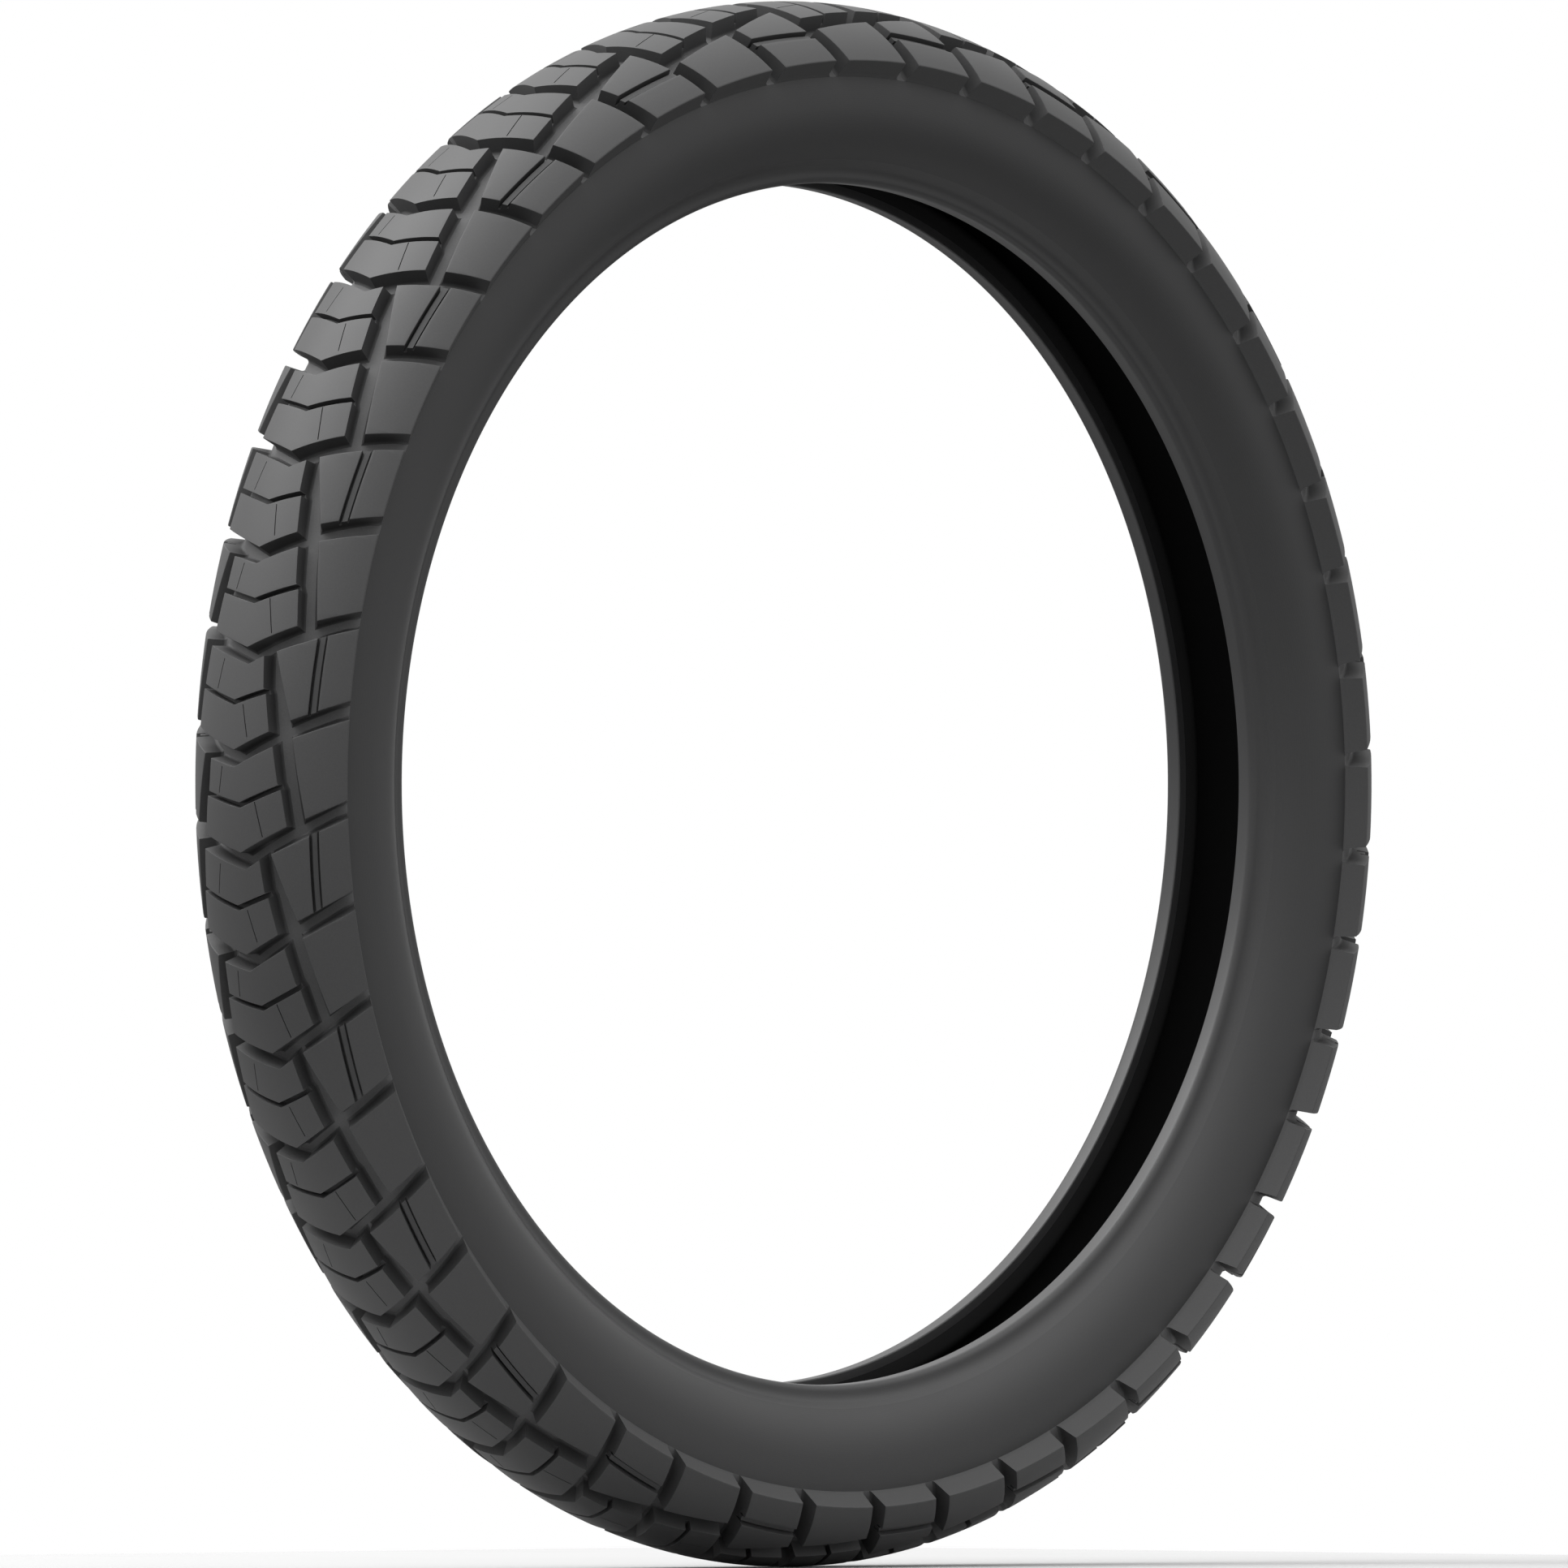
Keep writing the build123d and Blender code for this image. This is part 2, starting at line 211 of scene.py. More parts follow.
@dataclass(frozen=True)
class Finish:
    """One finish of the tire, and the fine detail that it shows."""

    name: str
    slot: str
    colour: tuple[float, float, float]
    roughness: float
    grain: Grain
    fleck: float = 0.16
    specular: float = 0.5
    metallic: float = 0.0
    pitch: float = 1.0 * MM
    lean: float = 0.0
    relief: float = 0.02 * MM
    contrast: float = 0.35
    cloud_scale: float = 26.0
    cloud_detail: float = 4.0
    cloud_roughness: float = 0.10
    grit_scale: float = 1400.0
    grit_detail: float = 3.0
    grit_roughness: float = 0.06
    grit_share: float = 0.5
    grit_on_cords: float = 0.2
    ring_share: float = 0.3
    darkest: float = 0.5
    lightest: float = 1.5

    def material(self) -> bpy.types.Material:
        """Builds the finish as nodes on Object coordinates.

        Returns:
            The material.
        """
        tree = MaterialTree(self.name)
        place = tree.node("ShaderNodeTexCoord", {}, {}).outputs["Object"]
        cloud = self._noise(tree, place, self.cloud_scale, self.cloud_detail)
        grit = self._noise(tree, place, self.grit_scale, self.grit_detail)
        height, shade = self._pattern(tree, place, grit)
        clouded = 1.0 + (cloud - 0.5) * self.fleck
        tone = clouded + (grit - 0.5) * (self.grit_share * self.fleck) + (shade - 0.5) * self.contrast
        ends = (self.darkest, self.lightest)
        dark, light = (tuple(part * scale for part in self.colour) + (1.0,) for scale in ends)
        tinted = tree.blend_colours(tone.between(*ends), dark, light)
        ups = tree.node("ShaderNodeBump", {}, {"Strength": 1.0, "Distance": self.relief, "Height": height})
        smeared = self.roughness + (cloud - 0.5) * self.cloud_roughness
        shader_inputs = {
            "Base Color": tinted,
            "Roughness": smeared + (grit - 0.5) * self.grit_roughness,
            "Metallic": self.metallic,
            "Specular IOR Level": self.specular,
            "Normal": ups.outputs["Normal"],
        }
        for key, given in shader_inputs.items():
            tree.feed(tree.shader.inputs[key], given)
        return tree.material

    def _noise(self, tree: Tree, place: bpy.types.NodeSocket, scale: float, detail: float) -> Value:
        """A cloud of noise about 0.5."""
        return tree.value("ShaderNodeTexNoise", {}, {"Vector": place, "Scale": scale, "Detail": detail})

    def _wave(self, along: Value) -> Value:
        """A wave from 0 to 1, one to each pitch of the grain."""
        return (along * (tau / self.pitch)).sine() * 0.5 + 0.5

    def _pattern(self, tree: Tree, place: bpy.types.NodeSocket, grit: Value) -> tuple[Value, Value]:
        """The grain's height and its shade.

        Args:
            tree: The tree that it is built in.
            place: The Object coordinates.
            grit: Fine noise, which every grain carries a little of.

        Returns:
            A height for the bump, and a shade about 0.5 for the colour.
        """
        if self.grain is Grain.MOULDED:
            return grit, grit
        split = tree.node("ShaderNodeSeparateXYZ", {}, {"Vector": place})
        x, y, z = (Value(tree, socket) for socket in split.outputs)
        radius = (x * x + z * z).root()
        if self.grain is Grain.TURNED:
            return grit * (1.0 - self.ring_share) + self._wave(radius) * self.ring_share, grit
        if self.grain is Grain.DRAWN:
            return self._wave(y + radius) + grit * self.grit_share, grit
        round_way = z.angle_to(x) * CORD_RADIUS
        cords = self._wave(round_way + y * self.lean)
        if self.grain is Grain.WOVEN:
            cords = cords * self._wave(round_way - y * self.lean)
        return cords + grit * self.grit_on_cords, cords


TREAD_RUBBER = Finish("tread_rubber", "tread_rubber", (0.034, 0.034, 0.0345), 0.60, Grain.MOULDED)
# The groove floor is the tread rubber painted lighter. This is painted light in place of the shade that
# falls in the grooves.
FLOOR_RUBBER_PAINTED_LIGHT = Finish("groove_floor_rubber_painted_light", "tread_rubber", (0.066, 0.066, 0.067), 0.60, Grain.MOULDED)
SIDEWALL_RUBBER = Finish(
    "sidewall_rubber", "sidewall_rubber", (0.020, 0.020, 0.0205), 0.54, Grain.TURNED, pitch=0.9 * MM,
)
BEAD_RUBBER = Finish(
    "bead_rubber", "bead_rubber", (0.022, 0.022, 0.0225), 0.46, Grain.TURNED, pitch=0.7 * MM,
)
LINER_RUBBER = Finish(
    "liner_rubber", "liner_rubber", (0.008, 0.008, 0.0082), 0.85, Grain.MOULDED, fleck=0.3, specular=0.2,
)
GUM_RUBBER = Finish("gum_rubber", "gum_rubber", (0.030, 0.028, 0.026), 0.62, Grain.MOULDED)
FILLER_RUBBER = Finish("filler_rubber", "filler_rubber", (0.018, 0.018, 0.018), 0.52, Grain.MOULDED)
PLY_CORD = Finish(
    "ply_cord", "ply_cord", (0.060, 0.052, 0.045), 0.66, Grain.CORDS,
    pitch=1.1 * MM, lean=0.8, relief=0.1 * MM,
)
PLY_CORD_CROSSED = Finish(
    "ply_cord_crossed", "ply_cord", (0.060, 0.052, 0.045), 0.66, Grain.CORDS,
    pitch=1.1 * MM, lean=-0.8, relief=0.1 * MM,
)
BREAKER_CORD = Finish(
    "breaker_cord", "breaker_cord", (0.085, 0.066, 0.040), 0.62, Grain.CORDS,
    pitch=1.8 * MM, lean=1.6, relief=0.15 * MM,
)
BREAKER_CORD_CROSSED = Finish(
    "breaker_cord_crossed", "breaker_cord", (0.085, 0.066, 0.040), 0.62, Grain.CORDS,
    pitch=1.8 * MM, lean=-1.6, relief=0.15 * MM,
)
CHAFER_CLOTH = Finish(
    "chafer_cloth", "chafer_cloth", (0.045, 0.042, 0.038), 0.70, Grain.WOVEN,
    pitch=1.4 * MM, lean=1.0, relief=0.08 * MM,
)
BEAD_STEEL = Finish(
    "bead_steel", "bead_steel", (0.50, 0.38, 0.22), 0.32, Grain.DRAWN,
    metallic=1.0, pitch=0.3 * MM, relief=0.004 * MM, contrast=0.15,
)


# ---------------------------------------------------------------------------------------------
# Sections: a point is its radius from the spin axis and its distance from the centre plane


def arc(centre: Point, radius: float, start: float, end: float, step: float = 3.0) -> list[Point]:
    """Points along an arc of the section.

    Args:
        centre: The arc's centre.
        radius: Its radius.
        start: Its first angle in degrees, from the radius axis towards +Y.
        end: Its last angle in degrees.
        step: About how far apart the points are, in degrees.

    Returns:
        The points, both ends among them.
    """
    count = max(1, ceil(abs(end - start) / step))
    turns = (radians(start + (end - start) * index / count) for index in range(count + 1))
    return [(centre[0] + radius * cos(turn), centre[1] + radius * sin(turn)) for turn in turns]


def arc_through(first: Point, middle: Point, last: Point, count: int) -> list[Point]:
    """Points along the arc through three points.

    Args:
        first: The arc's first point.
        middle: A point on the way.
        last: The arc's last point.
        count: How many stretches it gets.

    Returns:
        The points, both ends among them.
    """
    (ax, ay), (bx, by), (cx, cy) = first, middle, last
    double = 2 * (ax * (by - cy) + bx * (cy - ay) + cx * (ay - by))
    a2, b2, c2 = (px * px + py * py for px, py in (first, middle, last))
    centre = (
        (a2 * (by - cy) + b2 * (cy - ay) + c2 * (ay - by)) / double,
        (a2 * (cx - bx) + b2 * (ax - cx) + c2 * (bx - ax)) / double,
    )
    radius = hypot(ax - centre[0], ay - centre[1])
    start, end = (degrees(atan2(py - centre[1], px - centre[0])) for px, py in (first, last))
    sweep = (end - start + 180) % 360 - 180
    return arc(centre, radius, start, start + sweep, abs(sweep) / count)


def rounded(corners: list[tuple[float, float, float]], step: float = 12.0) -> list[Point]:
    """An open run of straight lines with rounded corners.

    Args:
        corners: The corners, each with its rounding radius, 0 for a plain point.
        step: About how far apart the points of a rounding are, in degrees.

    Returns:
        The points.
    """
    points = [corners[0][:2]]
    for before, (cx, cy, radius), after in zip(corners, corners[1:], corners[2:]):
        if not radius:
            points.append((cx, cy))
            continue
        into = Vector((cx - before[0], cy - before[1])).normalized()
        out = Vector((after[0] - cx, after[1] - cy)).normalized()
        turn = atan2(into.x * out.y - into.y * out.x, into.dot(out))
        start = Vector((cx, cy)) - into * (radius * tan(abs(turn) / 2))
        centre = start + Vector((-into.y, into.x)) * (radius if turn > 0 else -radius)
        count = max(2, ceil(abs(degrees(turn)) / step))
        for index in range(count + 1):
            spoke = Matrix.Rotation(turn * index / count, 2) @ (start - centre)
            points.append(tuple(centre + spoke))
    points.append(corners[-1][:2])
    return points


def shell(line: list[Point], thickness: float) -> list[Point]:
    """A closed section that lies along a line, to its left.

    Args:
        line: The open line that shows.
        thickness: How far it goes in from the line, negative to the line's right.

    Returns:
        The closed loop of points.
    """
    back = []
    for index, (px, py) in enumerate(line):
        before, after = line[max(0, index - 1)], line[min(len(line) - 1, index + 1)]
        along = Vector((after[0] - before[0], after[1] - before[1])).normalized()
        back.append((px - along.y * thickness, py + along.x * thickness))
    return line + back[::-1]


@dataclass(frozen=True)
class Casing:
    """The casing's section, which the skins and the tread share."""

    bead_seat_r: float = 266.7 * MM
    centre_r: float = 297.2 * MM
    floor_arc_r: float = 42.5 * MM
    floor_edge_angle: float = 66.8
    widest_r: float = 300.0 * MM
    half_width: float = 40.9 * MM
    shoulder_swell: float = 7.0 * MM
    shoulder_tuck: float = 0.5 * MM
    shoulder_stretches: int = 8
    sidewall_arc_r: float = 32.1 * MM
    slope_angle: float = 45.0
    flange_half_width: float = 27.4 * MM
    flange_line_r: float = 6.0 * MM
    heel_r: float = 3.0 * MM
    toe_r: float = 0.8 * MM
    toe_top_r: float = 270.9 * MM
    ply_arc_r: float = 38.0 * MM
    bend_arc_r: float = 16.0 * MM
    bend_angle: float = 60.0
    ply_corner_r: float = 3.0 * MM
    bundle_inside: float = 20.6 * MM
    layers: float = 2.2 * MM

    @property
    def toe_half_width(self) -> float:
        """How far each toe is from the centre plane."""
        return self.bundle_inside - self.layers

    def floor_line(self) -> list[Point]:
        """The groove floor, from the right edge over the crown to the left edge."""
        return arc((self.centre_r, 0.0), self.floor_arc_r, -self.floor_edge_angle, self.floor_edge_angle)

    def wall_line(self) -> list[Point]:
        """The left sidewall from the edge of the groove floor down to the slope over the rim flange."""
        edge = self.floor_line()[-1]
        swell = (self.widest_r + self.shoulder_swell, self.half_width - self.shoulder_tuck)
        widest = (self.widest_r, self.half_width)
        upper = arc_through(edge, swell, widest, self.shoulder_stretches)
        centre = (self.widest_r, self.half_width - self.sidewall_arc_r)
        return upper + arc(centre, self.sidewall_arc_r, 90, 90 + self.slope_angle)[1:]

    def foot_line(self) -> list[Point]:
        """The left bead foot from the slope over the flange, round the heel and the toe, to the liner."""
        slope = self.wall_line()[-1]
        drop = (slope[1] - self.flange_half_width) / tan(radians(self.slope_angle))
        return rounded(
            [
                (*slope, 0),
                (slope[0] - drop, self.flange_half_width, self.flange_line_r),
                (self.bead_seat_r, self.flange_half_width, self.heel_r),
                (self.bead_seat_r, self.toe_half_width, self.toe_r),
                (self.toe_top_r, self.toe_half_width, 0),
            ]
        )

    def liner_line(self) -> list[Point]:
        """The left half of the inside surface, from the toe to the crown."""
        bend_centre = (self.centre_r, self.ply_arc_r - self.bend_arc_r)
        bend_r = self.bend_arc_r - self.layers
        bend = arc(bend_centre, bend_r, 90 + self.bend_angle, 90)
        inside = self.toe_half_width
        drop = (bend[0][1] - inside) / tan(radians(self.bend_angle))
        corner = (bend[0][0] - drop, inside, self.ply_corner_r + self.layers)
        foot = rounded([(self.toe_top_r, inside, 0), corner, (*bend[0], 0)])
        crown = arc((self.centre_r, 0.0), self.ply_arc_r - self.layers, 90, 0)
        return foot + bend[1:] + crown[1:]


def mirrored(line: list[Point]) -> list[Point]:
    """A line on the other side of the centre plane, in the same order."""
    return [(radius, -across) for radius, across in line]


# ---------------------------------------------------------------------------------------------
# Mesh work


def only(piece: bpy.types.Object) -> None:
    """Leaves one object selected and active.

    Args:
        piece: The object.
    """
    bpy.ops.object.select_all(action="DESELECT")
    piece.select_set(True)
    bpy.context.view_layer.objects.active = piece


def outline_piece(name: str, corners: list[Vector], filled: bool) -> bpy.types.Object:
    """Starts a piece from a circle whose corners are moved to an outline.

    Args:
        name: The piece's name.
        corners: The outline's corners, in order.
        filled: Whether it gets a face.

    Returns:
        The piece, active and selected.
    """
    bpy.ops.object.select_all(action="DESELECT")
    fill = "NGON" if filled else "NOTHING"
    bpy.ops.mesh.primitive_circle_add(vertices=len(corners), radius=1.0, fill_type=fill)
    piece = bpy.context.active_object
    piece.name = piece.data.name = name
    for vertex, corner in zip(piece.data.vertices, corners):
        vertex.co = corner
    return piece


def spun_ring(name: str, section: list[Point], steps: int) -> bpy.types.Object:
    """A closed ring turned from a closed section.

    Args:
        name: The piece's name.
        section: The section's points.
        steps: How many flats it has round the spin axis.

    Returns:
        The ring.
    """
    ring = outline_piece(name, [Vector((radius, across, 0.0)) for radius, across in section], False)
    bpy.ops.object.mode_set(mode="EDIT")
    bpy.ops.mesh.select_all(action="SELECT")
    bpy.ops.mesh.spin(steps=steps, angle=tau, center=(0, 0, 0), axis=(0, 1, 0), use_auto_merge=True)
    bpy.ops.mesh.select_all(action="SELECT")
    bpy.ops.mesh.remove_doubles(threshold=TINY)
    bpy.ops.mesh.normals_make_consistent(inside=False)
    bpy.ops.object.mode_set(mode="OBJECT")
    bpy.ops.object.shade_smooth_by_angle(angle=radians(RING_SMOOTH_ANGLE))
    return ring


@dataclass(frozen=True)
class Paints:
    """The materials, each made the first time that it is used."""

    made: dict[Finish, bpy.types.Material] = field(default_factory=dict)

    def of(self, finish: Finish) -> bpy.types.Material:
        """The material of a finish."""
        if finish not in self.made:
            self.made[finish] = finish.material()
        return self.made[finish]

    def dress(self, piece: bpy.types.Object, finish: Finish, *nodes: str) -> None:
        """Gives a finished piece its material and its place in the frame.

        Args:
            piece: The piece.
            finish: Its finish.
            nodes: The frame's nodes that it stands for.
        """
        piece.data.materials.clear()
        piece.data.materials.append(self.of(finish))
        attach(piece, BODY)
        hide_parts(*nodes)
        log.info("%s: %d faces", piece.name, len(piece.data.polygons))

    def repaint(self, node: str, finish: Finish) -> None:
        """Gives one of the frame's own nodes a better material."""
        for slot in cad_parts[node].material_slots:
            slot.material = self.of(finish)
        log.info("%s: %s", node, finish.name)


# ---------------------------------------------------------------------------------------------
# The tread


@dataclass(frozen=True)
class Tread:
    """The tread surface and the pitch of its pattern.

    Blocks are shaped flat on a bench, in millimetres, and then wrapped on to the tire.
    """

    casing: Casing
    crown_r: float = 347.7
    arc_r: float = 53.7
    edge_across: float = 56.05
    crown_depth: float = 8.0
    edge_lean: float = 0.369
    edge_zone: float = 1.0
    periods: int = 24
    first_angle: float = 1.0

    @property
    def pitch(self) -> float:
        """Degrees in one period."""
        return 360 / self.periods

    @property
    def side_shift(self) -> float:
        """Degrees from the right side's pattern to the left side's."""
        return self.pitch / 2

    def bench(self, places: list[Point]) -> list[Vector]:
        """Lays places, given across the tread and round it in degrees, out on the bench."""
        return [Vector((across, self.crown_r * radians(angle), 0.0)) for across, angle in places]

    def depth_at(self, turn: float) -> float:
        """How deep the groove floor lies under the tread surface.

        Args:
            turn: The angle from the crown across the tread, in radians.

        Returns:
            The depth in millimetres.
        """
        offset = self.casing.centre_r / MM - (self.crown_r - self.arc_r)
        floor_r = self.casing.floor_arc_r / MM
        return self.arc_r - offset * cos(turn) - sqrt(floor_r**2 - (offset * sin(turn)) ** 2)

    def wrap(self, piece: bpy.types.Object, angle: float) -> None:
        """Wraps a piece from the bench on to the tire.

        Args:
            piece: The piece, in millimetres, with the tread surface at height 0.
            angle: The angle round the tire that the bench's origin goes to.
        """
        for vertex in piece.data.vertices:
            across, along, height = vertex.co
            if height < 0 and abs(across) > self.edge_across - self.edge_zone:
                leaning = min(
                    abs(across) - height * self.edge_lean / 2,
                    self.edge_across - height * self.edge_lean,
                )
                across = leaning if across > 0 else -leaning
            turn = across / self.arc_r
            if height < 0:
                height *= self.depth_at(turn) / self.crown_depth
            arc_r = self.arc_r + height
            radius = (self.crown_r - self.arc_r + arc_r * cos(turn)) * MM
            place = radians(angle) + along / self.crown_r
            vertex.co = (radius * cos(place), -arc_r * sin(turn) * MM, radius * sin(place))
        piece.data.flip_normals()


def grown(corners: list[Vector], margin: float) -> list[Vector]:
    """An anticlockwise outline with every side moved out.

    Args:
        corners: The outline's corners.
        margin: How far its sides move out.

    Returns:
        The new corners.
    """
    moved = []
    for before, corner, after in zip(corners[-1:] + corners[:-1], corners, corners[1:] + corners[:1]):
        first, second = (corner - before).normalized(), (after - corner).normalized()
        outwards = Vector((first.y + second.y, -first.x - second.x, 0.0))
        square = outwards.dot(Vector((second.y, -second.x, 0.0)))
        moved.append(corner + outwards * (margin / square))
    return moved


def band(route: list[Vector], width: float) -> list[Vector]:
    """The outline of a band along a route, both ends square.

    Args:
        route: The middle line's points.
        width: The band's width.

    Returns:
        The outline's corners.
    """
    rows: tuple[list[Vector], list[Vector]] = ([], [])
    for index, point in enumerate(route):
        into = (point - route[index - 1]).normalized() if index else None
        out = (route[index + 1] - point).normalized() if index + 1 < len(route) else into
        into = into or out
        square = Vector((into.y + out.y, -into.x - out.x, 0.0))
        reach = square * (width / 2 / square.dot(Vector((out.y, -out.x, 0.0))))
        rows[0].append(point + reach)
        rows[1].append(point - reach)
    return rows[0] + rows[1][::-1]


def flipped(places: list[Point], sign: int) -> list[Point]:
    """Places given across and round the tread, each with its across times a sign."""
    return [(sign * across, angle) for across, angle in places]


def anticlockwise(corners: list[Vector]) -> list[Vector]:
    """The same outline, run anticlockwise."""
    area = sum(a.x * b.y - b.x * a.y for a, b in zip(corners, corners[1:] + corners[:1]))
    return corners if area > 0 else corners[::-1]


@dataclass(frozen=True)
class BlockMould:
    """How every block is cut: its walls, edges, grooves and slits, in millimetres on the bench."""

    buried: float = -9.4
    draft: float = 7.0
    foot_levels: tuple[Point, ...] = ((1.20, -8.10), (0.55, -7.75), (0.18, -7.25), (0.0, -6.70))
    edge_r: float = 0.40
    edge_segments: int = 2
    level_within: float = 0.01
    flat_normal: float = 0.99
    groove_top: float = 2.0
    slit_width: float = 0.45
    slit_depth: float = 4.5
    across_step: float = 3.0
    along_step: float = 8.0

    def levels(self) -> list[Point]:
        """The block's wall from the ground up, as (margin outside the top outline, height)."""
        slope = tan(radians(self.draft))
        foot = [(extra - height * slope, height) for extra, height in self.foot_levels]
        return [(foot[0][0], self.buried), *foot, (0.0, 0.0)]

    def blank(self, name: str, outline: list[Vector]) -> bpy.types.Object:
        """A block with its walls and its foot, before its edges are rounded.

        Args:
            name: The piece's name.
            outline: The outline of its top.

        Returns:
            The block.
        """
        levels = self.levels()
        base_margin, base_height = levels[0]
        lift = Vector((0, 0, base_height))
        ground = [corner + lift for corner in grown(anticlockwise(outline), base_margin)]
        block = outline_piece(name, ground, True)
        bpy.ops.object.mode_set(mode="EDIT")
        bpy.ops.mesh.select_all(action="SELECT")
        rise = {"value": (0, 0, levels[1][1] - base_height)}
        bpy.ops.mesh.extrude_region_move(TRANSFORM_OT_translate=rise)
        for (margin, height), (next_margin, next_height) in zip(levels[1:], levels[2:]):
            bpy.ops.mesh.inset(thickness=margin - next_margin, depth=next_height - height)
        bpy.ops.object.mode_set(mode="OBJECT")
        return block

    def cut(self, block: bpy.types.Object, outline: list[Vector], depth: float) -> None:
        """Cuts a slot into a block.

        Args:
            block: The block.
            outline: The slot's outline.
            depth: How deep it goes under the top.
        """
        floor = [corner - Vector((0, 0, depth)) for corner in anticlockwise(outline)]
        cutter = outline_piece("cutter", floor, True)
        bpy.ops.object.mode_set(mode="EDIT")
        bpy.ops.mesh.select_all(action="SELECT")
        rise = {"value": (0, 0, depth + self.groove_top)}
        bpy.ops.mesh.extrude_region_move(TRANSFORM_OT_translate=rise)
        bpy.ops.mesh.select_all(action="SELECT")
        bpy.ops.mesh.normals_make_consistent(inside=False)
        bpy.ops.object.mode_set(mode="OBJECT")
        only(block)
        saw = block.modifiers.new("saw", "BOOLEAN")
        saw.operation = "DIFFERENCE"
        saw.solver = "EXACT"
        saw.object = cutter
        bpy.ops.object.modifier_apply(modifier=saw.name)
        bpy.data.objects.remove(cutter)

    def round_edges(self, block: bpy.types.Object) -> None:
        """Rounds every edge of a block's top.

        Args:
            block: The block.
        """
        only(block)
        bpy.ops.object.mode_set(mode="EDIT")
        bpy.ops.mesh.select_mode(type="EDGE")
        bpy.ops.mesh.select_all(action="DESELECT")
        mesh = bmesh.from_edit_mesh(block.data)
        for edge in mesh.edges:
            level = all(abs(vertex.co.z) < self.level_within for vertex in edge.verts)
            flats = sum(face.normal.z > self.flat_normal for face in edge.link_faces)
            edge.select_set(level and flats == 1)
        bmesh.update_edit_mesh(block.data)
        bpy.ops.mesh.bevel(
            offset=self.edge_r, segments=self.edge_segments, affect="EDGES", clamp_overlap=True,
        )
        bpy.ops.mesh.select_mode(type="VERT")
        bpy.ops.object.mode_set(mode="OBJECT")

    def slice_up(self, block: bpy.types.Object) -> None:
        """Cuts a block's faces into strips, so that they can follow the tire.

        Args:
            block: The block.
        """
        only(block)
        corners = [vertex.co for vertex in block.data.vertices]
        bpy.ops.object.mode_set(mode="EDIT")
        for axis, step in ((0, self.across_step), (1, self.along_step)):
            low = min(corner[axis] for corner in corners)
            high = max(corner[axis] for corner in corners)
            plane_normal = [0.0, 0.0, 0.0]
            plane_normal[axis] = 1.0
            count = ceil((high - low) / step)
            for index in range(1, count):
                plane_point = [0.0, 0.0, 0.0]
                plane_point[axis] = low + (high - low) * index / count
                bpy.ops.mesh.select_all(action="SELECT")
                bpy.ops.mesh.bisect(plane_co=plane_point, plane_no=plane_normal)
        bpy.ops.object.mode_set(mode="OBJECT")


@dataclass(frozen=True)
class Groove:
    """A groove across a block's top: its middle line as (across, degrees), and its width and depth."""

    route: list[Point]
    width: float = 2.3
    depth: float = 4.5


@dataclass(frozen=True)
class BlockShape:
    """One kind of block: its outline, its grooves and its slits, as (across, degrees) from its own angle."""

    name: str
    angle: float
    outline: list[Point]
    grooves: list[Groove] = field(default_factory=list)
    slits: list[list[Point]] = field(default_factory=list)

    def build(self, tread: Tread, mould: BlockMould) -> bpy.types.Object:
        """Cuts the block and wraps it on to the tire.

        Args:
            tread: The tread that it belongs to.
            mould: How blocks are cut.

        Returns:
            The block, in place.
        """
        block = mould.blank(self.name, tread.bench(self.outline))
        for groove in self.grooves:
            mould.cut(block, band(tread.bench(groove.route), groove.width), groove.depth)
        mould.round_edges(block)
        for slit in self.slits:
            mould.cut(block, band(tread.bench(slit), mould.slit_width), mould.slit_depth)
        mould.slice_up(block)
        tread.wrap(block, self.angle)
        return block


